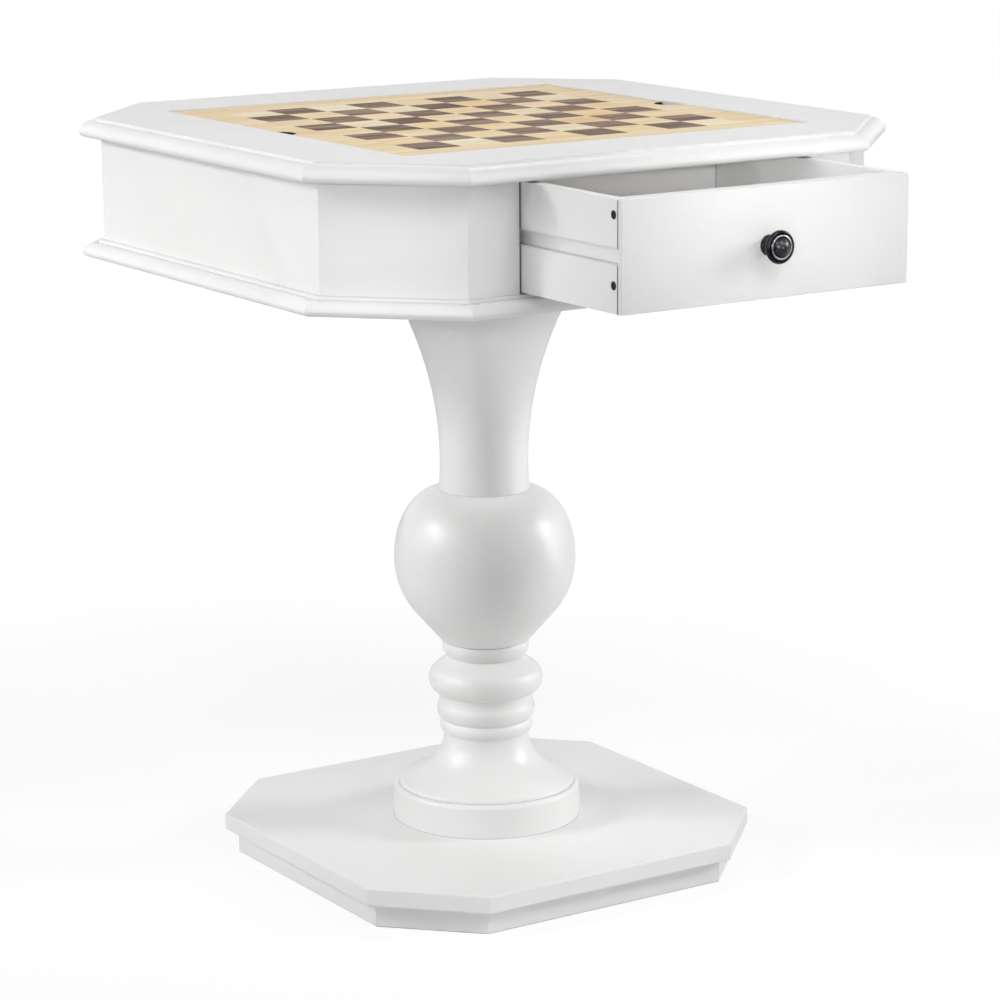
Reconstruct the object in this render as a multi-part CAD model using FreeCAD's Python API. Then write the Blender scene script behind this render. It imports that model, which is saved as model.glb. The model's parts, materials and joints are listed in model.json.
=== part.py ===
import FreeCAD, Part
import math
import os
from FreeCAD import Vector

# Games table: octagonal case with two drawers and a lift-out board, on a turned pedestal.
# Millimetres, +Z up, origin on the floor under the pedestal's axis, the open drawer towards -Y.

# Heights of the stack, from the floor up
table_height = 787.0
plinth_thick = 26.0
plate_thick = 18.0
bottom_thick = 17.0
apron_height = 107.0
top_thick = 19.0

# Base octagons
base_half = 237.0
base_cut = 89.0
plinth_inset = 12.75
base_edge_round = 1.6

# Case octagon, outside the apron
case_half = 322.0
case_cut = 100.0
panel_thick = 16.0
stile_width = 56.5
frame_rim = 83.2
glue_block_leg = 18.0
glue_block_short = 6.0

# Moulded edge of the top frame and the bottom board
edge_ledge = 5.0
edge_reach = 21.0
edge_under_round = 5.5
quirk_depth = 3.2
quirk_width = 1.4
thumb_bulge_share = 0.74

# Lower turning, from its foot up; the drum and the upper turning's cap have the column's full radius
column_radius = 99.0
foot_drum_height = 31.0
foot_edge_round = 4.5
foot_quirk = 1.4
foot_bead_height = 5.0
foot_bead_reach = 3.8
flare_height = 49.5
flare_turn = math.radians(67)
waist_radius = 44.8
small_bead_height = 15.0
small_bead_radius = 49.0
small_bead_top_radius = 46.8
middle_bead_height = 18.0
middle_bead_radius = 51.8
hollow_height = 11.0
hollow_radius = 49.2
hollow_rim_radius = 50.2
great_bead_height = 39.4
great_bead_radius = 60.3
great_bead_top_radius = 40.0
great_bead_peak_share = 0.437
great_bead_shoulder_radius = 52.0
great_bead_shoulder_share = 0.76
collar_quirk_height = 1.6
collar_quirk_radius = 40.8
collar_height = 16.0
collar_radius = 45.6
collar_top_radius = 44.2
tenon_radius = 20.0
tenon_length = 45.0
tenon_clear = 0.2

# Upper turning
urn_height = 163.0
urn_base_radius = 46.4
urn_radius = 95.6
urn_belly_share = 0.552
urn_taper = math.radians(41)
throat_radius = 46.5
throat_share = 0.14
cap_height = 36.0
cap_edge_round = 3.5
cap_quirk = 2.6

# Bolts and inserts of the pedestal
bolt_circle = 62.0
bolt_count = 4
bolt_radius = 4.0
bolt_clear = 0.5
bolt_head_radius = 7.0
bolt_head_height = 4.4
bolt_bite = 28.0
hole_spare = 4.0
washer_radius = 12.0
washer_thick = 1.6
counterbore_radius = 13.0
counterbore_depth = 12.0
insert_radius = 7.0
insert_length = 24.0
insert_clear = 0.1

# Countersunk screws of the runners and the drawers
screw_radius = 1.75
screw_head_radius = 4.1
screw_head_height = 2.35
screw_clear = 0.1

# Drawer bays
partition_thick = 16.0
divider_thick = 16.0
runner_height = 14.5
runner_setback = 3.0
runner_screw_shares = (0.14, 0.5, 0.86)
runner_screw_bite = 9.0
stop_width = 30.0
stop_height = 40.0
stop_length = 15.5
stop_gap = 0.5
stop_place_share = 0.6

# Drawers
drawer_gap = 1.75
drawer_foot_gap = 2.0
drawer_head_gap = 1.5
drawer_open = 162.0
front_thick = 19.0
front_lip = 5.0
front_edge_round = 0.8
side_thick = 12.0
side_end_gap = 1.8
groove_depth = 6.0
groove_clear = 0.3
groove_side_clear = 0.6
back_thick = 12.0
tray_thick = 5.0
tray_rise = 8.0
tray_groove = 5.0
tray_clear = 0.3
corner_screw_back = 12.4
corner_screw_drop = 14.2
corner_screw_rise = 25.6
corner_screw_length = 30.0
corner_screw_sink = 0.2

# Knobs: places along the axis and radii as shares of the length and the head's radius
knob_drop = 2.0
knob_length = 25.0
knob_radius = 15.6
knob_base_radius = 9.6
knob_waist_radius = 8.2
knob_waist_share = 0.3
knob_flare_share = 0.54
knob_flare_radius_share = 0.8
knob_rim_share = 0.66
knob_rim_front_share = 0.78
knob_rim_front_radius_share = 0.88
knob_valley_share = 0.7
knob_valley_radius_share = 0.76
knob_ring_share = 0.81
knob_ring_radius_share = 0.68
knob_dome_share = 0.77
knob_dome_radius_share = 0.58
knob_screw_radius = 2.0
knob_screw_clear = 0.15
knob_screw_bite = 10.0
knob_screw_head_radius = 4.5
knob_screw_head_height = 2.8

# Lift-out board and the strips that carry its edges
board_gap = 0.6
board_drop = 1.8
veneer_thick = 1.0
lipping_width = 22.0
notch_radius = 16.0
notch_inset = 2.0
board_margin = 44.8
line_width = 0.7
squares_per_side = 8
rest_length_share = 0.8
rest_ledge = 12.0
rest_overlap = 16.0
rest_thick = 14.0
rest_finger_gap = 40.0

# How far a cutting shape runs past what it cuts
overrun = 5.0

# Levels and lines that several pieces share
pedestal_bottom = plinth_thick + plate_thick
top_bottom = table_height - top_thick
apron_bottom = top_bottom - apron_height
pedestal_top = apron_bottom - bottom_thick
foot_height = sum((
    foot_drum_height, foot_edge_round, foot_bead_height, flare_height, small_bead_height,
    middle_bead_height, hollow_height, great_bead_height, collar_quirk_height, collar_height))
turning_joint = pedestal_bottom + foot_height
bay_half_depth = case_half - panel_thick
opening_half = case_half - case_cut - stile_width
stop_end = divider_thick / 2 + stop_length
drawer_depth = case_half - stop_end - stop_gap
drawer_half = opening_half - drawer_gap
drawer_bottom = apron_bottom + drawer_foot_gap
drawer_top = top_bottom - drawer_head_gap
drawer_middle = (drawer_bottom + drawer_top) / 2
knob_height = drawer_middle - knob_drop
runner_face = drawer_half - groove_depth + groove_side_clear
recess_half = case_half - frame_rim
square_pitch = 2 * (recess_half - board_margin) / squares_per_side
board_half = recess_half - board_gap
board_top = table_height - board_drop
corner_share = math.sqrt(2) / 2
x_axis = Vector(1, 0, 0)
y_axis = Vector(0, 1, 0)
z_axis = Vector(0, 0, 1)
origin = Vector(0, 0, 0)


def at(radius, height):
    return Vector(radius, 0, height)


def block(x0, x1, y0, y1, z0, z1):
    return Part.makeBox(x1 - x0, y1 - y0, z1 - z0, Vector(x0, y0, z0))


def rod(radius, start, end):
    return Part.makeCylinder(radius, start.distanceToPoint(end), start, end - start)


def moved(shape, way):
    copy = shape.copy()
    copy.translate(way)
    return copy


def about_z(shape, degrees):
    copy = shape.copy()
    copy.rotate(origin, z_axis, degrees)
    return copy


def turned(profile):
    return profile.revolve(origin, z_axis, 360)


# Closed outline from a start point: a step is one point for a line, two for an arc, or an edge and its end
def outline(start, *steps):
    edges = []
    here = start
    for step in steps:
        if len(step) == 1:
            edges.append(Part.makeLine(here, step[0]))
        elif isinstance(step[0], Part.Edge):
            edges.append(step[0])
        else:
            edges.append(Part.Arc(here, step[0], step[1]).toShape())
        here = step[-1]
    edges.append(Part.makeLine(here, start))
    return Part.Face(Part.Wire(Part.sortEdges(edges)[0]))


# Stretch of an ellipse that turns from the end of one axis towards the end of the other
def ellipse_arc(center, first, second, turn):
    quarter = math.pi / 2
    if first.distanceToPoint(center) >= second.distanceToPoint(center):
        return Part.ArcOfEllipse(Part.Ellipse(first, second, center), 0, turn).toShape()
    return Part.ArcOfEllipse(Part.Ellipse(second, first, center), quarter - turn, quarter).toShape()


def around(radius, count):
    for step in range(count):
        angle = 2 * math.pi * (step + 1 / 2) / count
        yield Vector(radius * math.cos(angle), radius * math.sin(angle), 0)


# Corners of an octagon, counter-clockwise from the front end of its right side
def octagon_corners(half, cut):
    right_side = [Vector(half, cut - half, 0), Vector(half, half - cut, 0)]
    corners = []
    for quarter in range(4):
        turn = FreeCAD.Rotation(z_axis, quarter * 90)
        corners += [turn.multVec(corner) for corner in right_side]
    return corners


# Corners of the octagon that lies inside another at the same distance all round
def inset_corners(half, cut, inset):
    return octagon_corners(half - inset, cut - inset * (2 - math.sqrt(2)))


def prism(corners, bottom, height):
    face = Part.Face(Part.makePolygon(corners + corners[:1]))
    return moved(face.extrude(z_axis * height), z_axis * bottom)


def eased_board(corners, bottom, thick):
    board = prism(corners, bottom, thick)
    rims = [edge for edge in board.Edges if edge.BoundBox.ZLength < base_edge_round]
    return board.makeFillet(base_edge_round, rims)


# Section across a board that has the moulded edge on both sides
def moulded_section(half, bottom, thick):
    nose = half + edge_reach
    flat = half + edge_ledge
    step = flat + quirk_width
    top = bottom + thick
    shoulder = bottom + edge_under_round
    thumb_top = top - quirk_depth
    round_mid = edge_under_round * (1 - corner_share)
    thumb_mid = step + (nose - step) * thumb_bulge_share
    thumb_mid_height = shoulder + (thumb_top - shoulder) * thumb_bulge_share
    return outline(
        at(nose - edge_under_round, bottom),
        (at(nose - round_mid, bottom + round_mid), at(nose, shoulder)),
        (at(thumb_mid, thumb_mid_height), at(step, thumb_top)),
        (at(flat, thumb_top),),
        (at(flat, top),),
        (at(-flat, top),),
        (at(-flat, thumb_top),),
        (at(-step, thumb_top),),
        (at(-thumb_mid, thumb_mid_height), at(-nose, shoulder)),
        (at(round_mid - nose, bottom + round_mid), at(edge_under_round - nose, bottom)),
    )


# Octagon with mitred mouldings, where four long moulded bars cross at 45 degrees
def moulded_octagon(bottom, thick):
    across_corners = (2 * case_half - case_cut) / math.sqrt(2)
    length = 2 * (across_corners + edge_reach + overrun)
    bars = []
    for eighth in range(4):
        half = across_corners if eighth % 2 else case_half
        bar = moulded_section(half, bottom, thick).extrude(y_axis * length)
        bars.append(about_z(moved(bar, y_axis * (-length / 2)), eighth * 45))
    board = bars[0]
    for bar in bars[1:]:
        board = board.common(bar)
    return board.removeSplitter().Solids[0]


# Screw with a countersunk head at its start, larger all over by a clearance for its hole
def countersunk(start, way, length, clear=0):
    radius = screw_radius + clear
    head = Part.makeCone(screw_head_radius + clear, radius, screw_head_height + clear, start, way)
    return head.fuse(rod(radius, start, start + way * (length + clear))).removeSplitter()


# Screws at several places, with their holes, which are open out past the heads
def screw_group(places, way, length):
    screws, holes = [], []
    for place in places:
        mouth = rod(screw_head_radius + screw_clear, place - way * overrun, place)
        screws.append(countersunk(place, way, length))
        holes.append(countersunk(place, way, length, screw_clear).fuse(mouth))
    return screws, holes


# Bolts through boards into inserts in a turning, with the holes in the boards and in the turning
def bolt_group(seat, joint, way):
    bolts, washers, inserts, board_holes, turning_holes = [], [], [], [], []
    for place in around(bolt_circle, bolt_count):
        on_seat = place + z_axis * seat
        on_washer = on_seat - way * washer_thick
        on_joint = place + z_axis * joint
        tip = on_joint + way * bolt_bite
        head = rod(bolt_head_radius, on_washer - way * bolt_head_height, on_washer)
        bolts.append(head.fuse(rod(bolt_radius, on_washer, tip)).removeSplitter())
        hole = rod(bolt_radius + bolt_clear, on_washer - way * overrun, tip + way * hole_spare)
        washers.append(rod(washer_radius, on_washer, on_seat).cut(hole))
        insert_end = on_joint + way * insert_length
        thread = rod(bolt_radius + insert_clear, on_joint, insert_end)
        inserts.append(rod(insert_radius, on_joint, insert_end).cut(thread))
        board_holes.append(hole)
        seat_hole = rod(insert_radius + insert_clear, on_joint - way * overrun, insert_end)
        turning_holes.append(hole.fuse(seat_hole))
    return bolts, washers, inserts, board_holes, turning_holes


# Lower turning: drum, flare, three beads with a hollow between, collar and tenon
def pedestal_foot():
    drum_top = pedestal_bottom + foot_drum_height
    ring_top = drum_top + foot_edge_round
    ring_radius = column_radius - foot_edge_round
    bead_radius = ring_radius - foot_quirk
    flare_radius = bead_radius - foot_bead_reach
    flare_foot = ring_top + foot_bead_height
    flare_top = flare_foot + flare_height
    flare_axis = waist_radius + (flare_radius - waist_radius) / (1 - math.cos(flare_turn))
    flare_low = at(flare_axis, flare_top - flare_height / math.sin(flare_turn))
    flare = ellipse_arc(at(flare_axis, flare_top), at(waist_radius, flare_top), flare_low, flare_turn)
    small_top = flare_top + small_bead_height
    middle_top = small_top + middle_bead_height
    hollow_top = middle_top + hollow_height
    great_peak = hollow_top + great_bead_height * great_bead_peak_share
    great_shoulder = hollow_top + great_bead_height * great_bead_shoulder_share
    great_top = hollow_top + great_bead_height
    quirk_top = great_top + collar_quirk_height
    edge_mid = at(ring_radius + foot_edge_round * corner_share, drum_top + foot_edge_round * corner_share)
    bead_mid = at(flare_radius + foot_bead_reach * corner_share, ring_top + foot_bead_height * corner_share)
    return turned(outline(
        at(0, pedestal_bottom),
        (at(column_radius, pedestal_bottom),),
        (at(column_radius, drum_top),),
        (edge_mid, at(ring_radius, ring_top)),
        (at(bead_radius, ring_top),),
        (bead_mid, at(flare_radius, flare_foot)),
        (flare, at(waist_radius, flare_top)),
        (at(small_bead_radius, (flare_top + small_top) / 2), at(small_bead_top_radius, small_top)),
        (at(middle_bead_radius, (small_top + middle_top) / 2), at(hollow_rim_radius, middle_top)),
        (at(hollow_radius, (middle_top + hollow_top) / 2), at(hollow_rim_radius, hollow_top)),
        (at(great_bead_radius, great_peak), at(great_bead_shoulder_radius, great_shoulder)),
        (at(great_bead_top_radius, great_top),),
        (at(collar_quirk_radius, quirk_top),),
        (at(collar_radius, (quirk_top + turning_joint) / 2), at(collar_top_radius, turning_joint)),
        (at(tenon_radius, turning_joint),),
        (at(tenon_radius, turning_joint + tenon_length),),
        (at(0, turning_joint + tenon_length),),
    ))


# Upper turning: tapered urn with a round shoulder, trumpet neck and cap, socketed for the tenon
def pedestal_urn():
    belly = turning_joint + urn_height * urn_belly_share
    urn_top = turning_joint + urn_height
    swell = urn_radius - urn_base_radius
    rise = belly - turning_joint
    bend = (rise * math.sin(urn_taper) - swell * math.cos(urn_taper)) / (1 - math.cos(urn_taper))
    cap_bottom = pedestal_top - cap_height
    throat = urn_top + (cap_bottom - urn_top) * throat_share
    trumpet_radius = column_radius - cap_edge_round - cap_quirk
    flare = trumpet_radius - throat_radius
    sweep = ((cap_bottom - throat) ** 2 + flare ** 2) / (2 * flare)

    def on_belly(turn):
        return at(urn_radius - bend * (1 - math.cos(turn)), belly - bend * math.sin(turn))

    def on_trumpet(height):
        return at(throat_radius + sweep - math.sqrt(sweep ** 2 - (height - throat) ** 2), height)

    neck = on_trumpet(urn_top)
    shoulder = ellipse_arc(at(neck.x, belly), at(urn_radius, belly), neck, math.pi / 2)
    cap_mid = cap_edge_round * (1 - corner_share)
    socket_radius = tenon_radius + tenon_clear
    socket_top = turning_joint + tenon_length + tenon_clear
    return turned(outline(
        at(socket_radius, turning_joint),
        (at(urn_base_radius, turning_joint),),
        (on_belly(urn_taper),),
        (on_belly(urn_taper / 2), at(urn_radius, belly)),
        (shoulder, neck),
        (on_trumpet((throat + cap_bottom) / 2), at(trumpet_radius, cap_bottom)),
        (at(column_radius - cap_edge_round, cap_bottom),),
        (at(column_radius - cap_mid, cap_bottom + cap_mid), at(column_radius, cap_bottom + cap_edge_round)),
        (at(column_radius, pedestal_top),),
        (at(0, pedestal_top),),
        (at(0, socket_top),),
        (at(socket_radius, socket_top),),
    ))


# Base boards, pedestal and what bolts them together
def base_and_pedestal():
    plinth = eased_board(inset_corners(base_half, base_cut, plinth_inset), 0, plinth_thick)
    plate = eased_board(octagon_corners(base_half, base_cut), plinth_thick, plate_thick)
    bolts, washers, inserts, board_holes, foot_holes = bolt_group(
        counterbore_depth, pedestal_bottom, z_axis)
    counterbores = [rod(counterbore_radius, place - z_axis * overrun, place + z_axis * counterbore_depth)
                    for place in around(bolt_circle, bolt_count)]
    top_bolts, top_washers, top_inserts, bottom_holes, urn_holes = bolt_group(
        apron_bottom, pedestal_top, -z_axis)
    return {
        "base_plinth": plinth.cut(board_holes + counterbores),
        "base_plate": plate.cut(board_holes),
        "base_bolts": bolts,
        "base_washers": washers,
        "base_inserts": inserts,
        "pedestal_foot": pedestal_foot().cut(foot_holes),
        "pedestal_urn": pedestal_urn().cut(urn_holes),
        "top_bolts": top_bolts,
        "top_washers": top_washers,
        "top_inserts": top_inserts,
    }, bottom_holes


# Apron panel on one side of the octagon, with mitred ends
def apron_panel(side):
    outer = octagon_corners(case_half, case_cut)
    inner = inset_corners(case_half, case_cut, panel_thick)
    after = (side + 1) % len(outer)
    return prism([outer[side], outer[after], inner[after], inner[side]], apron_bottom, apron_height)


# Stiles that are left of a side when the drawer opening is cut away, in order of X
def stiles(side):
    reach = case_half + overrun
    hole = block(-opening_half, opening_half, -reach, reach, apron_bottom - overrun, top_bottom + overrun)
    return sorted(apron_panel(side).cut(hole).Solids, key=lambda stile: stile.CenterOfMass.x)


# Three-sided block inside each corner of the apron
def glue_blocks():
    inner = inset_corners(case_half, case_cut, panel_thick)
    blocks = []
    for place, corner in enumerate(inner):
        before = (inner[place - 1] - corner).normalize() * glue_block_leg
        after = (inner[(place + 1) % len(inner)] - corner).normalize() * glue_block_leg
        foot = [corner, corner + after, corner + before]
        blocks.append(prism(foot, apron_bottom, apron_height - glue_block_short))
    return blocks


# Apron, moulded boards and the strips under the board's edges
def case(bottom_holes):
    front_left, front_right = stiles(6)
    rear_left, rear_right = stiles(2)
    recess_low, recess_high = top_bottom - overrun, table_height + overrun
    recess = block(-recess_half, recess_half, -recess_half, recess_half, recess_low, recess_high)
    rests = []
    for side in (-1, 1):
        across = sorted((side * (recess_half - rest_ledge), side * (recess_half + rest_overlap)))
        for end in (-1, 1):
            along = sorted((end * rest_finger_gap / 2, end * recess_half * rest_length_share))
            rests.append(block(*across, *along, top_bottom - rest_thick, top_bottom))
    return {
        "bottom_board": moulded_octagon(pedestal_top, bottom_thick).cut(bottom_holes),
        "right_side_panel": apron_panel(0),
        "rear_right_corner_panel": apron_panel(1),
        "rear_left_corner_panel": apron_panel(3),
        "left_side_panel": apron_panel(4),
        "front_left_corner_panel": apron_panel(5),
        "front_right_corner_panel": apron_panel(7),
        "front_left_stile": front_left,
        "front_right_stile": front_right,
        "rear_left_stile": rear_left,
        "rear_right_stile": rear_right,
        "glue_blocks": glue_blocks(),
        "board_rest_strips": rests,
        "top_frame": moulded_octagon(top_bottom, top_thick).cut(recess),
    }


# Runner on each side of the front bay, with its screws and their holes
def front_runners():
    front_end = runner_setback - bay_half_depth
    back_end = -divider_thick / 2 - runner_setback
    low = drawer_middle - runner_height / 2
    screw_length = opening_half - runner_face + runner_screw_bite
    strips, screws, holes = [], [], []
    for side in (-1, 1):
        places = [Vector(side * runner_face, front_end + (back_end - front_end) * share, drawer_middle)
                  for share in runner_screw_shares]
        side_screws, side_holes = screw_group(places, x_axis * side, screw_length)
        across = sorted((side * runner_face, side * opening_half))
        strips.append(block(*across, front_end, back_end, low, low + runner_height).cut(side_holes))
        screws += side_screws
        holes += side_holes
    return strips, screws, holes


# Sides of the drawer bays, divider, stops and runners
def bays():
    strips, screws, holes = front_runners()
    both_screws = screws + [about_z(screw, 180) for screw in screws]
    both_holes = holes + [about_z(hole, 180) for hole in holes]
    partition = block(opening_half, opening_half + partition_thick, -bay_half_depth, bay_half_depth,
                      apron_bottom, top_bottom)
    divider = block(-opening_half, opening_half, -divider_thick / 2, divider_thick / 2,
                    apron_bottom, top_bottom)
    stop_low = apron_bottom + (apron_height - stop_height) / 2
    stops = []
    for side in (-1, 1):
        middle = side * stop_place_share * opening_half
        for end in (-1, 1):
            along = sorted((end * divider_thick / 2, end * stop_end))
            stops.append(block(middle - stop_width / 2, middle + stop_width / 2, *along,
                               stop_low, stop_low + stop_height))
    return {
        "left_partition": about_z(partition, 180).cut(both_holes),
        "right_partition": partition.cut(both_holes),
        "centre_divider": divider,
        "drawer_stops": stops,
        "front_runners": strips,
        "rear_runners": [about_z(strip, 180) for strip in strips],
        "runner_screws": both_screws,
    }


# Turned knob on the drawer's face: base, waist, rim, valley, ring and dome
def knob(face, hole):
    def spot(share, radius):
        return at(radius, knob_length * share)

    ring_foot = spot(knob_dome_share, knob_radius * knob_dome_radius_share)
    dome_rise = knob_length - ring_foot.z
    dome_radius = (dome_rise ** 2 + ring_foot.x ** 2) / (2 * dome_rise)
    half_turn = math.atan2(dome_rise, ring_foot.x)
    crown = at(dome_radius * math.sin(half_turn), knob_length - dome_radius * (1 - math.cos(half_turn)))
    flare_end = spot(knob_flare_share, knob_radius * knob_flare_radius_share)
    rim_front = spot(knob_rim_front_share, knob_radius * knob_rim_front_radius_share)
    valley = spot(knob_valley_share, knob_radius * knob_valley_radius_share)
    shape = turned(outline(
        origin,
        (at(knob_base_radius, 0),),
        (spot(knob_waist_share, knob_waist_radius), flare_end),
        (spot(knob_rim_share, knob_radius), rim_front),
        (valley,),
        (spot(knob_ring_share, knob_radius * knob_ring_radius_share), ring_foot),
        (crown, at(0, knob_length)),
    ))
    shape.rotate(origin, x_axis, 90)
    return moved(shape, Vector(0, face, knob_height)).cut(hole)


# Front drawer, shut: rabbeted front, grooved sides, back standing on the bottom, knob and screws
def shut_drawer():
    face = -case_half
    lip = face + front_lip
    front_back = face + front_thick
    tail = face + drawer_depth
    inner = drawer_half - side_thick
    tray_bottom = drawer_bottom + tray_rise
    tray_top = tray_bottom + tray_thick
    groove_half = runner_height / 2 + groove_clear
    low, high = drawer_bottom - overrun, drawer_top + overrun

    tray_side = inner + tray_groove
    tray_slot = block(-tray_side, tray_side, front_back - tray_groove, tail + overrun,
                      tray_bottom, tray_top + tray_clear)
    screw_heights = (drawer_bottom + corner_screw_rise, drawer_top - corner_screw_drop)
    screw_depths = (face + corner_screw_back, tail - back_thick / 2)
    screws, screw_holes = [], []
    for side in (-1, 1):
        places = [Vector(side * (drawer_half - corner_screw_sink), depth, height)
                  for depth in screw_depths for height in screw_heights]
        side_screws, side_holes = screw_group(places, x_axis * -side, corner_screw_length)
        screws += side_screws
        screw_holes += side_holes

    head = Vector(0, front_back, knob_height)
    tip = Vector(0, face - knob_screw_bite, knob_height)
    knob_screw = rod(knob_screw_head_radius, head, head + y_axis * knob_screw_head_height)
    knob_screw = knob_screw.fuse(rod(knob_screw_radius, tip, head)).removeSplitter()
    knob_hole = rod(knob_screw_radius + knob_screw_clear, tip - y_axis * knob_screw_clear,
                    head + y_axis * overrun)

    front = block(-drawer_half, drawer_half, face, front_back, drawer_bottom, drawer_top)
    face_edges = [edge for edge in front.Edges if edge.BoundBox.YMax < lip]
    front = front.makeFillet(front_edge_round, face_edges)
    sides = []
    for side in (-1, 1):
        across = sorted((side * inner, side * (drawer_half + overrun)))
        front = front.cut(block(*across, lip, front_back + overrun, low, high))
        across = sorted((side * inner, side * drawer_half))
        board = block(*across, lip + side_end_gap, tail, drawer_bottom, drawer_top)
        across = sorted((side * (drawer_half - groove_depth), side * (drawer_half + overrun)))
        groove = block(*across, lip, tail + overrun,
                       drawer_middle - groove_half, drawer_middle + groove_half)
        sides.append(board.cut([groove, tray_slot] + screw_holes))
    back = block(-inner, inner, tail - back_thick, tail, tray_top, drawer_top)
    reach = tray_side - tray_clear
    return {
        "front": front.cut([tray_slot, knob_hole] + screw_holes),
        "left_side": sides[0],
        "right_side": sides[1],
        "back": back.cut(screw_holes),
        "bottom": block(-reach, reach, front_back - tray_groove + tray_clear, tail, tray_bottom, tray_top),
        "knob": knob(face, knob_hole),
        "knob_screw": knob_screw,
        "screws": screws,
    }


# Both drawers: the front one pulled out, the rear one shut
def drawers():
    pieces = {}
    for name, piece in shut_drawer().items():
        solids = piece if isinstance(piece, list) else [piece]
        pieces["front_drawer_" + name] = [moved(solid, y_axis * -drawer_open) for solid in solids]
        pieces["rear_drawer_" + name] = [about_z(solid, 180) for solid in solids]
    return pieces


# Lift-out board: core between two lippings, backing, and a face of border, lines and squares
def game_board():
    core_half = board_half - lipping_width
    core_bottom = top_bottom + veneer_thick
    core_top = board_top - veneer_thick
    notches = []
    for side in (-1, 1):
        foot = Vector(side * (board_half - notch_inset), 0, top_bottom - overrun)
        notches.append(rod(notch_radius, foot, foot + z_axis * (top_thick + 2 * overrun)))
    lipping = block(core_half, board_half, -board_half, board_half, core_bottom, core_top).cut(notches)
    sheet = block(-board_half, board_half, -board_half, board_half, top_bottom, core_bottom).cut(notches)
    square = square_pitch - line_width
    first = -square_pitch * squares_per_side / 2 + line_width / 2
    squares = ([], [])
    for column in range(squares_per_side):
        for row in range(squares_per_side):
            x = first + column * square_pitch
            y = first + row * square_pitch
            squares[(column + row) % 2].append(block(x, x + square, y, y + square, core_top, board_top))
    dark, light = squares
    return {
        "board_core": block(-core_half, core_half, -board_half, board_half, core_bottom, core_top),
        "board_left_lipping": about_z(lipping, 180),
        "board_right_lipping": lipping,
        "board_backing": sheet,
        "board_face": moved(sheet, z_axis * (core_top - top_bottom)).cut(dark + light),
        "dark_squares": dark,
        "light_squares": light,
    }


base_pieces, bottom_bolt_holes = base_and_pedestal()
pieces = {**base_pieces, **case(bottom_bolt_holes), **bays(), **game_board(), **drawers()}
os.makedirs("parts", exist_ok=True)
for name, piece in pieces.items():
    shape = Part.makeCompound(piece) if isinstance(piece, list) else piece
    shape.exportStep("parts/" + name + ".step")
print(len(pieces), "pieces")
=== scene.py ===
import json
import math
import bmesh
import bpy
from mathutils import Matrix, Vector


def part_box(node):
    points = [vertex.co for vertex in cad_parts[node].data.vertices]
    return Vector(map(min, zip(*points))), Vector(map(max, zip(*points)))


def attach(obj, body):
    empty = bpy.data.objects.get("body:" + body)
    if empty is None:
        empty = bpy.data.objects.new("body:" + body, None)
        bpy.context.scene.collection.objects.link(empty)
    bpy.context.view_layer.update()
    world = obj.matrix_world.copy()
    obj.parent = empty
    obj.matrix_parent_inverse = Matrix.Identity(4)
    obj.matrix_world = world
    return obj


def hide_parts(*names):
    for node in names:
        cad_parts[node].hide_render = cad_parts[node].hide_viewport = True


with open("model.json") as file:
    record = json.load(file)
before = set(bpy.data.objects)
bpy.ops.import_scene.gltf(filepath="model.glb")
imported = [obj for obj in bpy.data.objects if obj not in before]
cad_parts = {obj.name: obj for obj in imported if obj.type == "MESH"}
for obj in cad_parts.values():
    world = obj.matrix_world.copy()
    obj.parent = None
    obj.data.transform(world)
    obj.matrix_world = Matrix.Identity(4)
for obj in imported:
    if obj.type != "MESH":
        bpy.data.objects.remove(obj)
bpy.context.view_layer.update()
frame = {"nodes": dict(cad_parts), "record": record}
nodes = frame["nodes"]
print("frame loaded:", len(nodes), "nodes")


# small helpers for the node trees
def newFinish(name):
    mat = bpy.data.materials.new(name)
    mat.use_nodes = True
    tree = mat.node_tree
    tree.nodes.clear()
    out = tree.nodes.new("ShaderNodeOutputMaterial")
    shader = tree.nodes.new("ShaderNodeBsdfPrincipled")
    tree.links.new(shader.outputs["BSDF"], out.inputs["Surface"])
    return mat, tree, shader


def addNode(tree, kind, **settings):
    node = tree.nodes.new(kind)
    for key, value in settings.items():
        if key in node.inputs:
            node.inputs[key].default_value = value
        else:
            setattr(node, key, value)
    return node


def objectPoint(tree, scale=(1, 1, 1), place=(0, 0, 0)):
    coord = tree.nodes.new("ShaderNodeTexCoord")
    mapping = addNode(tree, "ShaderNodeMapping", Scale=scale, Location=place)
    tree.links.new(coord.outputs["Object"], mapping.inputs["Vector"])
    return mapping.outputs["Vector"]


def noise(tree, vector, scale, detail=2.0, rough=0.5):
    node = addNode(tree, "ShaderNodeTexNoise", Scale=scale, Detail=detail, Roughness=rough)
    tree.links.new(vector, node.inputs["Vector"])
    return node.outputs["Fac"]


def spread(tree, value, low, high, fromLow=0.3, fromHigh=0.7):
    node = tree.nodes.new("ShaderNodeMapRange")
    node.inputs["From Min"].default_value = fromLow
    node.inputs["From Max"].default_value = fromHigh
    node.inputs["To Min"].default_value = low
    node.inputs["To Max"].default_value = high
    tree.links.new(value, node.inputs["Value"])
    return node.outputs["Result"]


def ramp(tree, value, stops):
    node = tree.nodes.new("ShaderNodeValToRGB")
    while len(node.color_ramp.elements) < len(stops):
        node.color_ramp.elements.new(0.5)
    for element, (place, colour) in zip(node.color_ramp.elements, stops):
        element.position = place
        element.color = (*colour, 1)
    tree.links.new(value, node.inputs["Fac"])
    return node.outputs["Color"]


def mixColour(tree, factor, first, second, blend="MIX"):
    node = addNode(tree, "ShaderNodeMix", data_type="RGBA", blend_type=blend)
    for socket, value in ((node.inputs[0], factor), (node.inputs[6], first), (node.inputs[7], second)):
        if isinstance(value, bpy.types.NodeSocket):
            tree.links.new(value, socket)
        else:
            socket.default_value = value
    return node.outputs[2]


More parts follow.
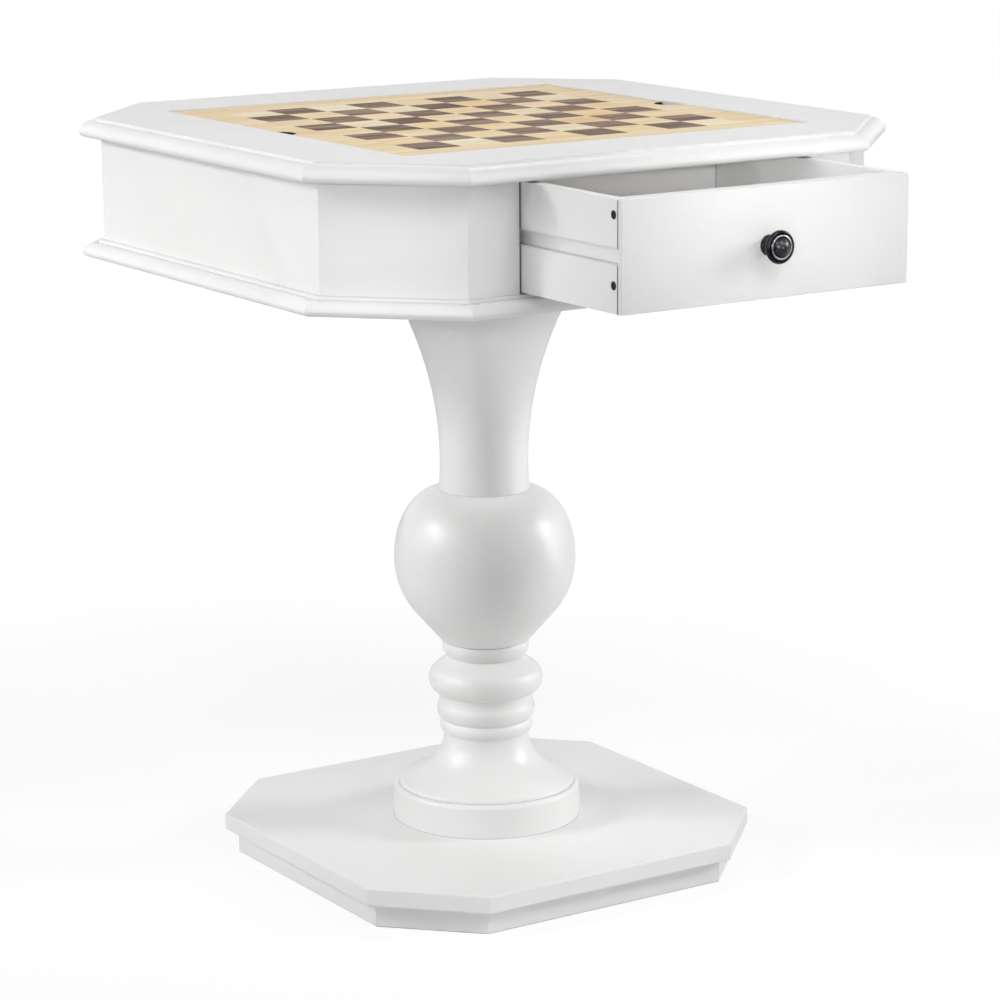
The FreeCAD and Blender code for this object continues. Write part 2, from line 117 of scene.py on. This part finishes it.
def vectorMath(tree, operation, first, second=None):
    node = addNode(tree, "ShaderNodeVectorMath", operation=operation)
    tree.links.new(first, node.inputs[0])
    if isinstance(second, bpy.types.NodeSocket):
        tree.links.new(second, node.inputs[1])
    elif second is not None:
        node.inputs[1].default_value = second
    return node.outputs["Value" if operation == "LENGTH" else "Vector"]


def bump(tree, shader, height, strength, distance):
    node = addNode(tree, "ShaderNodeBump", Strength=strength, Distance=distance)
    tree.links.new(height, node.inputs["Height"])
    tree.links.new(node.outputs["Normal"], shader.inputs["Normal"])


# white sprayed paint: faint clouding, orange peel, uneven gloss, and painted shade from ambient
# occlusion that darkens each joint and quirk
# noises are given as scale, detail and roughness, bumps as strength and depth
paintLook = {
    "pale": (0.84, 0.84, 0.835),
    "deep": (0.815, 0.815, 0.81),
    "cloud": (5.0, 4.0, 0.6),
    "cloudSpan": (0.35, 0.65),
    "gloss": (22.0, 3.0),
    "rough": (0.3, 0.38),
    "specular": 0.45,
    "peel": (750.0, 2.0),
    "peelBump": (0.25, 0.00006),
    "shadeReach": 0.002,
    "shadeTone": 0.4,
    "shadeSpan": (0.35, 0.75),
    "shadeSamples": 12,
}
# the drawers have darker, wider painted shade at each joint, and their boxes take a little paler copy
# of the paint, a painted lift for the light inside the drawers
drawerFrontLook = {**paintLook, "shadeReach": 0.004, "shadeTone": 0.2}
# painted light: the boxes' paint is paler, lifting the shaded inside of the drawers
drawerBoxLook = {**drawerFrontLook, "pale": (0.87, 0.87, 0.865), "deep": (0.85, 0.85, 0.845)}


def paintFinish(name, look, paintedShade=True):
    mat, tree, shader = newFinish(name)
    point = objectPoint(tree)
    cloud = noise(tree, point, *look["cloud"])
    coat = ramp(tree, cloud, list(zip(look["cloudSpan"], (look["deep"], look["pale"]))))
    # painted shade: ambient occlusion darkens the coat in creases, gaps and quirks
    if paintedShade:
        occlusion = addNode(tree, "ShaderNodeAmbientOcclusion", samples=look["shadeSamples"],
                         Distance=look["shadeReach"])
        line = spread(tree, occlusion.outputs["AO"], look["shadeTone"], 1.0, *look["shadeSpan"])
        coat = mixColour(tree, 1.0, coat, line, "MULTIPLY")
    gloss = noise(tree, point, *look["gloss"])
    tree.links.new(coat, shader.inputs["Base Color"])
    tree.links.new(spread(tree, gloss, *look["rough"]), shader.inputs["Roughness"])
    shader.inputs["Specular IOR Level"].default_value = look["specular"]
    bump(tree, shader, noise(tree, point, *look["peel"]), *look["peelBump"])
    return mat


# board veneers: each square has its own tone and its own stretch of grain, which runs along X
veneerLook = {
    "squareSize": 0.0485,
    "toneStretch": (1.5, 8, 8),
    "toneNoise": (3.0, 2.0),
    "figure": (2.2, 5.0, 0.62),
    "pores": (16.0, 2.0, 0.5),
    "veinSpan": (0.46, 0.64),
    "streakSpan": (0.36, 0.48),
    "poreSpan": (0.5, 0.75),
    "poreShare": 0.7,
    "poreBump": (0.2, 0.00005),
    "edgeSlope": 0.5,
}
mapleLook = {
    **veneerLook,
    "tones": [(0.0, (0.95, 0.88, 0.65)), (0.4, (0.93, 0.76, 0.47)), (0.75, (0.92, 0.68, 0.36)),
              (1.0, (0.87, 0.56, 0.24))],
    "vein": (0.6, 0.36, 0.15, 1),
    "veinShare": 0.3,
    "pale": (0.98, 0.92, 0.74, 1),
    "paleShare": 0.3,
    "rough": (0.42, 0.55),
    "specular": 0.22,
    "grain": (2.5, 24.0, 24.0),
    "edge": (0.5, 0.33, 0.17, 1),
}
walnutLook = {
    **veneerLook,
    "tones": [(0.0, (0.27, 0.163, 0.106)), (0.5, (0.18, 0.104, 0.066)), (1.0, (0.31, 0.195, 0.135))],
    "vein": (0.04, 0.023, 0.016, 1),
    "veinShare": 0.9,
    "pale": (0.4, 0.28, 0.205, 1),
    "paleShare": 0.6,
    "rough": (0.5, 0.62),
    "specular": 0.12,
    "grain": (3.0, 26.0, 26.0),
    "edge": (0.05, 0.03, 0.02, 1),
}
borderLook = {
    **mapleLook,
    "tones": [(0.0, (0.87, 0.67, 0.39)), (1.0, (0.93, 0.75, 0.47))],
    "grain": (1.6, 24.0, 24.0),
    "edge": (0.02, 0.016, 0.013, 1),
}


def veneerFinish(name, look, inSquares):
    mat, tree, shader = newFinish(name)
    point = objectPoint(tree)
    if inSquares:
        cell = vectorMath(tree, "DIVIDE", point, (look["squareSize"],) * 3)
        chance = addNode(tree, "ShaderNodeTexWhiteNoise", noise_dimensions="3D")
        tree.links.new(vectorMath(tree, "FLOOR", cell), chance.inputs["Vector"])
        point = vectorMath(tree, "ADD", point, chance.outputs["Color"])
        tone = chance.outputs["Value"]
    else:
        tone = noise(tree, objectPoint(tree, look["toneStretch"]), *look["toneNoise"])
    stretched = vectorMath(tree, "MULTIPLY", point, look["grain"])
    figure = noise(tree, stretched, *look["figure"])
    pores = noise(tree, stretched, *look["pores"])
    veins = spread(tree, figure, 0.0, look["veinShare"], *look["veinSpan"])
    streaks = spread(tree, figure, look["paleShare"], 0.0, *look["streakSpan"])
    fine = spread(tree, pores, 0.0, look["veinShare"] * look["poreShare"], *look["poreSpan"])
    body = mixColour(tree, streaks, ramp(tree, tone, look["tones"]), look["pale"])
    body = mixColour(tree, veins, body, look["vein"])
    surface = mixColour(tree, fine, body, look["vein"])
    # upright faces, such as the cut edges of the finger notches, take the darker edge colour
    facing = tree.nodes.new("ShaderNodeNewGeometry")
    normal = tree.nodes.new("ShaderNodeSeparateXYZ")
    upright = addNode(tree, "ShaderNodeMath", operation="ABSOLUTE")
    onEdge = addNode(tree, "ShaderNodeMath", operation="LESS_THAN")
    onEdge.inputs[1].default_value = look["edgeSlope"]
    tree.links.new(facing.outputs["True Normal"], normal.inputs[0])
    tree.links.new(normal.outputs["Z"], upright.inputs[0])
    tree.links.new(upright.outputs[0], onEdge.inputs[0])
    edgeDarkened = mixColour(tree, onEdge.outputs[0], surface, look["edge"])
    tree.links.new(edgeDarkened, shader.inputs["Base Color"])
    tree.links.new(spread(tree, figure, *look["rough"]), shader.inputs["Roughness"])
    shader.inputs["Specular IOR Level"].default_value = look["specular"]
    bump(tree, shader, pores, *look["poreBump"])
    return mat


# bare beech inside the case, grain along Y, with short dark flecks
beechLook = {
    "tones": [(0.3, (0.62, 0.43, 0.26)), (0.7, (0.7, 0.51, 0.33))],
    "grainStretch": (60, 3, 60),
    "grain": (2.0, 5.0, 0.6),
    "fleck": (0.42, 0.26, 0.14, 1),
    "fleckStretch": (420, 60, 420),
    "fleckNoise": (1.5, 1.0),
    "fleckShare": 0.5,
    "fleckSpan": (0.6, 0.75),
    "rough": (0.5, 0.65),
    "grainBump": (0.2, 0.0001),
}


def beechFinish(name, look):
    mat, tree, shader = newFinish(name)
    grain = noise(tree, objectPoint(tree, look["grainStretch"]), *look["grain"])
    flecks = noise(tree, objectPoint(tree, look["fleckStretch"]), *look["fleckNoise"])
    flecks = spread(tree, flecks, 0.0, look["fleckShare"], *look["fleckSpan"])
    body = mixColour(tree, flecks, ramp(tree, grain, look["tones"]), look["fleck"])
    tree.links.new(body, shader.inputs["Base Color"])
    tree.links.new(spread(tree, grain, *look["rough"]), shader.inputs["Roughness"])
    bump(tree, shader, grain, *look["grainBump"])
    return mat


# metals and stains: mottled colour and gloss over a fine grit
mottleLook = {
    "mottle": (3.0, 0.55),
    "mottleSpan": (0.35, 0.65),
    "gritTimes": 4,
    "gritDetail": 2.0,
    "gritBump": (0.15, 0.00004),
    "specular": 0.5,
    "metal": 1.0,
}
blackLook = {
    **mottleLook,
    "pale": (0.014, 0.014, 0.015),
    "deep": (0.005, 0.005, 0.005),
    "metal": 0.0,
    "rough": (0.4, 0.55),
    "specular": 0.25,
    "size": 420.0,
}
stainLook = {
    **mottleLook,
    "pale": (0.018, 0.016, 0.015),
    "deep": (0.008, 0.007, 0.007),
    "metal": 0.0,
    "rough": (0.5, 0.7),
    "specular": 0.2,
    "size": 300.0,
}
zincLook = {
    **mottleLook,
    "pale": (0.62, 0.63, 0.65),
    "deep": (0.5, 0.51, 0.53),
    "rough": (0.28, 0.42),
    "size": 240.0,
}
brassLook = {
    **mottleLook,
    "pale": (0.72, 0.53, 0.24),
    "deep": (0.58, 0.41, 0.17),
    "rough": (0.3, 0.42),
    "size": 240.0,
}
# the knobs are dark bronze with a bright metal ring round the dome, partly rubbed wear and partly a
# painted reflection, with a faint wash of it over the dome
knobLow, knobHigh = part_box("front_drawer_knob")
bronzeLook = {
    **mottleLook,
    "axis": (knobLow.z + knobHigh.z) / 2,
    "radius": (knobHigh.x - knobLow.x) / 2,
    "pale": (0.04, 0.04, 0.046, 1),
    "deep": (0.012, 0.012, 0.015, 1),
    "wearAndGlint": (0.5, 0.5, 0.53, 1),
    "ring": [(0.0, 0.06), (0.5, 0.04), (0.61, 0), (0.66, 0.8), (0.71, 0.8), (0.76, 0)],
    "rough": (0.25, 0.36),
    "size": 160.0,
}


def mottledSurface(tree, shader, look, mottle):
    grit = noise(tree, objectPoint(tree), look["size"] * look["gritTimes"], look["gritDetail"])
    tree.links.new(spread(tree, mottle, *look["rough"]), shader.inputs["Roughness"])
    shader.inputs["Metallic"].default_value = look["metal"]
    shader.inputs["Specular IOR Level"].default_value = look["specular"]
    bump(tree, shader, grit, *look["gritBump"])


def mottledFinish(name, look):
    mat, tree, shader = newFinish(name)
    mottle = noise(tree, objectPoint(tree), look["size"], *look["mottle"])
    body = ramp(tree, mottle, list(zip(look["mottleSpan"], (look["deep"], look["pale"]))))
    tree.links.new(body, shader.inputs["Base Color"])
    mottledSurface(tree, shader, look, mottle)
    return mat


def bronzeFinish(name, look):
    mat, tree, shader = newFinish(name)
    mottle = noise(tree, objectPoint(tree), look["size"], *look["mottle"])
    body = mixColour(tree, spread(tree, mottle, 0.0, 1.0), look["deep"], look["pale"])
    fromAxis = vectorMath(tree, "LENGTH", objectPoint(tree, (1, 0, 1), (0, 0, -look["axis"])))
    share = spread(tree, fromAxis, 0.0, 1.0, 0.0, look["radius"])
    ring = ramp(tree, share, [(place, (tone,) * 3) for place, tone in look["ring"]])
    # painted reflection and wear: the ring ramp mixes the bright metal in on the ring and faintly over
    # the dome
    tree.links.new(mixColour(tree, ring, body, look["wearAndGlint"]), shader.inputs["Base Color"])
    mottledSurface(tree, shader, look, mottle)
    return mat


finishes = {
    "white_paint": paintFinish("whitePaint", paintLook),
    "plain_wood": beechFinish("bareBeech", beechLook),
    "maple": veneerFinish("mapleSheet", borderLook, False),
    "walnut": veneerFinish("walnutSquares", walnutLook, True),
    "black_lipping": mottledFinish("blackStain", stainLook),
    "knob_bronze": bronzeFinish("knobBronze", bronzeLook),
    "black_steel": mottledFinish("blackSteel", blackLook),
    "zinc_steel": mottledFinish("zincSteel", zincLook),
    "insert_brass": mottledFinish("insertBrass", brassLook),
}
drawerBoxPaint = paintFinish("drawerPaint", drawerBoxLook)
drawerFrontPaint = paintFinish("drawerFrontPaint", drawerFrontLook)
ownFinishes = {
    "light_squares": veneerFinish("mapleSquares", mapleLook, True),
    "top_frame": paintFinish("framePaint", paintLook, False),
    "front_drawer_front": drawerFrontPaint,
    "rear_drawer_front": drawerFrontPaint,
}


def dress(piece, finish):
    piece.data.materials.clear()
    piece.data.materials.append(finish)


for part in frame["record"]["subparts"]:
    name, slot = part["node"], part["material_slot"]
    inDrawer = slot == "white_paint" and "_drawer_" in name
    plain = drawerBoxPaint if inDrawer else finishes[slot]
    dress(nodes[name], ownFinishes.get(name, plain))


# cross-head screws at the drawers' corners
screwLook = {
    "headRadius": 0.0041,
    "headHeight": 0.00235,
    "shankRadius": 0.00175,
    "length": 0.030,
    "tipLength": 0.004,
    "tipShare": 0.15,
    "segments": 28,
    "armReach": 0.0024,
    "armWide": 0.001,
    "recessDepth": 0.0013,
    "recessTaper": 0.6,
}
screwPlaces = {
    "sink": 0.0002,
    "fromFace": 0.0124,
    "fromTail": 0.006,
    "fromBottom": 0.0256,
    "fromTop": 0.0142,
}


def addScrew(bm, look, place):
    made = bmesh.ops.create_circle(bm, radius=look["headRadius"], segments=look["segments"])["verts"]
    rim = list({edge for vert in made for edge in vert.link_edges})
    half = look["armWide"] / 2
    cross = []
    for quarter in range(4):
        turn = Matrix.Rotation(math.radians(90 * quarter), 3, "Z")
        for spot in ((look["armReach"], -half, 0), (look["armReach"], half, 0), (half, half, 0)):
            cross.append(bm.verts.new(turn @ Vector(spot)))
    arms = [bm.edges.new((cross[i - 1], cross[i])) for i in range(len(cross))]
    bmesh.ops.triangle_fill(bm, use_beauty=True, edges=rim + arms)
    # the recess goes in and narrows
    floor = bm.faces.get(cross) or bm.faces.new(cross)
    dug = bmesh.ops.extrude_discrete_faces(bm, faces=[floor])["faces"][0]
    bmesh.ops.scale(bm, vec=(look["recessTaper"], look["recessTaper"], 1), verts=dug.verts)
    bmesh.ops.translate(bm, vec=(0, 0, -look["recessDepth"]), verts=dug.verts)
    # cone, shank and point
    ring = rim
    for radius, drop in ((look["shankRadius"], look["headHeight"]),
                         (look["shankRadius"], look["length"] - look["headHeight"] - look["tipLength"]),
                         (look["shankRadius"] * look["tipShare"], look["tipLength"])):
        grown = bmesh.ops.extrude_edge_only(bm, edges=ring)["geom"]
        verts = [g for g in grown if isinstance(g, bmesh.types.BMVert)]
        ring = [g for g in grown if isinstance(g, bmesh.types.BMEdge) and g.is_boundary]
        now = max(vert.co.xy.length for vert in verts)
        bmesh.ops.scale(bm, vec=(radius / now, radius / now, 1), verts=verts)
        bmesh.ops.translate(bm, vec=(0, 0, -drop), verts=verts)
        made += verts
    bmesh.ops.edgenet_fill(bm, edges=ring)
    bmesh.ops.transform(bm, matrix=place, verts=made + cross + list(dug.verts))


def finishPiece(bm, name, finish, body):
    bmesh.ops.recalc_face_normals(bm, faces=bm.faces)
    mesh = bpy.data.meshes.new(name)
    bm.to_mesh(mesh)
    bm.free()
    piece = bpy.data.objects.new(name, mesh)
    bpy.context.scene.collection.objects.link(piece)
    dress(piece, finish)
    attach(piece, body)
    return piece


for drawer, way in (("front_drawer", 1), ("rear_drawer", -1)):
    frontLow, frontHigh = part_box(drawer + "_front")
    backLow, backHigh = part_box(drawer + "_back")
    face, tail = (frontLow.y, backHigh.y) if way > 0 else (frontHigh.y, backLow.y)
    bm = bmesh.new()
    for side in (-1, 1):
        x = side * (frontHigh.x - screwPlaces["sink"])
        aim = Matrix.Rotation(math.radians(90 * side), 4, "Y")
        for y in (face + way * screwPlaces["fromFace"], tail - way * screwPlaces["fromTail"]):
            for z in (frontLow.z + screwPlaces["fromBottom"], frontHigh.z - screwPlaces["fromTop"]):
                addScrew(bm, screwLook, Matrix.Translation((x, y, z)) @ aim)
    screws = finishPiece(bm, drawer + "_cross_screws", finishes["black_steel"], drawer)
    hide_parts(drawer + "_screws")
print("drawer screws made")


# floor, light and camera
stageLook = {
    "floorHalf": 40.0,
    "floorBounce": 0.82,
    "floorTone": 0.3,
    "glow": (0.74, 1.0),
    "glowSpan": (0.6, 2.4),
    "ambient": 0.0,
    "white": 1.0,
}


def makeFloor(look):
    bm = bmesh.new()
    bmesh.ops.create_grid(bm, x_segments=1, y_segments=1, size=look["floorHalf"])
    mesh = bpy.data.meshes.new("studioFloor")
    bm.to_mesh(mesh)
    bm.free()
    floor = bpy.data.objects.new("studioFloor", mesh)
    bpy.context.scene.collection.objects.link(floor)
    mat = bpy.data.materials.new("studioFloor")
    mat.use_nodes = True
    tree = mat.node_tree
    tree.nodes.clear()
    out = tree.nodes.new("ShaderNodeOutputMaterial")
    path = tree.nodes.new("ShaderNodeLightPath")
    bounce = addNode(tree, "ShaderNodeBsdfDiffuse", Color=(look["floorBounce"],) * 3 + (1,))
    seen = addNode(tree, "ShaderNodeBsdfDiffuse", Color=(look["floorTone"],) * 3 + (1,))
    # the glow grows away from the table, so that the backdrop is white and the shadow stays
    away = vectorMath(tree, "LENGTH", objectPoint(tree))
    glow = addNode(tree, "ShaderNodeEmission", Color=(1, 1, 1, 1))
    tree.links.new(spread(tree, away, *look["glow"], *look["glowSpan"]), glow.inputs["Strength"])
    both = tree.nodes.new("ShaderNodeAddShader")
    pick = tree.nodes.new("ShaderNodeMixShader")
    tree.links.new(seen.outputs[0], both.inputs[0])
    tree.links.new(glow.outputs[0], both.inputs[1])
    tree.links.new(path.outputs["Is Camera Ray"], pick.inputs[0])
    tree.links.new(bounce.outputs[0], pick.inputs[1])
    tree.links.new(both.outputs[0], pick.inputs[2])
    tree.links.new(pick.outputs[0], out.inputs["Surface"])
    floor.data.materials.append(mat)


def makeWorld(look):
    world = bpy.data.worlds.new("studio")
    bpy.context.scene.world = world
    world.use_nodes = True
    tree = world.node_tree
    tree.nodes.clear()
    out = tree.nodes.new("ShaderNodeOutputWorld")
    path = tree.nodes.new("ShaderNodeLightPath")
    soft = addNode(tree, "ShaderNodeBackground", Color=(1, 1, 1, 1), Strength=look["ambient"])
    white = addNode(tree, "ShaderNodeBackground", Color=(1, 1, 1, 1), Strength=look["white"])
    first = addNode(tree, "ShaderNodeMath", operation="MAXIMUM")
    second = addNode(tree, "ShaderNodeMath", operation="MAXIMUM")
    pick = tree.nodes.new("ShaderNodeMixShader")
    tree.links.new(path.outputs["Is Camera Ray"], first.inputs[0])
    tree.links.new(path.outputs["Is Glossy Ray"], first.inputs[1])
    tree.links.new(first.outputs[0], second.inputs[0])
    tree.links.new(path.outputs["Is Transmission Ray"], second.inputs[1])
    tree.links.new(second.outputs[0], pick.inputs[0])
    tree.links.new(soft.outputs[0], pick.inputs[1])
    tree.links.new(white.outputs[0], pick.inputs[2])
    tree.links.new(pick.outputs[0], out.inputs["Surface"])


# broad lamps aim at the table's middle, and gridded ones have a spread in degrees
lampPlan = {"aim": (0, -0.1, 0.5), "spread": 180}
lampLook = {
    "leftKey": {"at": (-3.2, 1.5, 2.3), "size": (0.6, 0.6), "watts": 40.0},
    "leftRear": {"at": (-3.04, 1.7, 1.2), "size": (1.2, 1.2), "watts": 15.0},
    "nearLeft": {"at": (-1.7, 0.2, 1.15), "size": (0.6, 0.6), "watts": 1.6,
                 "aim": (-0.28, 0.2, 0.45), "spread": 64},
    "rightKey": {"at": (3.03, -1.62, 1.71), "size": (1.0, 1.0), "watts": 60.0},
    "smallKey": {"at": (1.6, -3.0, 2.4), "size": (0.25, 0.25), "watts": 9.0},
    "nearRight": {"at": (1.6, -0.8, 0.45), "size": (0.6, 0.6), "watts": 0.32,
                  "aim": (0, 0, 0.46), "spread": 30},
    "highFront": {"at": (0.24, -2.52, 3.16), "size": (1.2, 1.2), "watts": 29.0},
    "highLeft": {"at": (-1.99, -1.34, 3.23), "size": (1.2, 1.2), "watts": 20.0},
    "highRear": {"at": (1.65, 1.55, 3.24), "size": (1.2, 1.2), "watts": 18.0},
    "cornerGrid": {"at": (-2.08, -2.62, 1.27), "size": (0.12, 0.12), "watts": 0.062,
                   "aim": (-0.28, -0.26, 0.7), "spread": 8},
    "insideGrid": {"at": (-1.9, -2.7, 1.17), "size": (0.12, 0.12), "watts": 0.09,
                   "aim": (0.11, -0.36, 0.76), "spread": 8},
    "frontGrid": {"at": (0.25, -3.6, 1.25), "size": (0.3, 0.15), "watts": 0.065,
                  "aim": (0.0, -0.45, 0.745), "spread": 12},
    "drawerStrip": {"at": (0, -0.415, 3.0), "size": (0.26, 0.03), "watts": 0.03,
                    "aim": (0, -0.415, 0.7), "spread": 3},
    "plinthGrid": {"at": (-0.7, -2.6, 0.3), "size": (0.5, 0.5), "watts": 0.16,
                   "aim": (-0.08, -0.22, 0.02), "spread": 16},
}


def makeLamps(looks, plan):
    for name, look in looks.items():
        look = {**plan, **look}
        data = bpy.data.lights.new(name, "AREA")
        data.shape = "RECTANGLE"
        data.size, data.size_y = look["size"]
        data.energy = look["watts"]
        data.spread = math.radians(look["spread"])
        lamp = bpy.data.objects.new(name, data)
        lamp.location = look["at"]
        beam = Vector(look["aim"]) - Vector(look["at"])
        lamp.rotation_euler = beam.to_track_quat("-Z", "Y").to_euler()
        bpy.context.scene.collection.objects.link(lamp)


# the photograph's view: angles in degrees, focal length in pixels of its width
cameraLook = {
    "at": (-1.8843, -2.9417, 1.1725),
    "turn": -32.9108,
    "pitch": 12.713,
    "roll": -0.3837,
    "focal": 3414.226,
    "photoWidth": 1000,
    "sensor": 36.0,
    "farEnd": 200.0,
}


def makeCamera(look):
    data = bpy.data.cameras.new("photoView")
    data.sensor_width = look["sensor"]
    data.lens = look["focal"] / look["photoWidth"] * look["sensor"]
    data.clip_end = look["farEnd"]
    camera = bpy.data.objects.new("photoView", data)
    aim = Matrix.Rotation(math.radians(look["turn"]), 4, "Z")
    aim = aim @ Matrix.Rotation(math.radians(90 - look["pitch"]), 4, "X")
    aim = aim @ Matrix.Rotation(math.radians(look["roll"]), 4, "Z")
    camera.matrix_world = Matrix.Translation(look["at"]) @ aim
    bpy.context.scene.collection.objects.link(camera)
    bpy.context.scene.camera = camera


makeFloor(stageLook)
makeWorld(stageLook)
makeLamps(lampLook, lampPlan)
makeCamera(cameraLook)
bpy.context.scene.view_settings.view_transform = "Standard"
print("stage set")
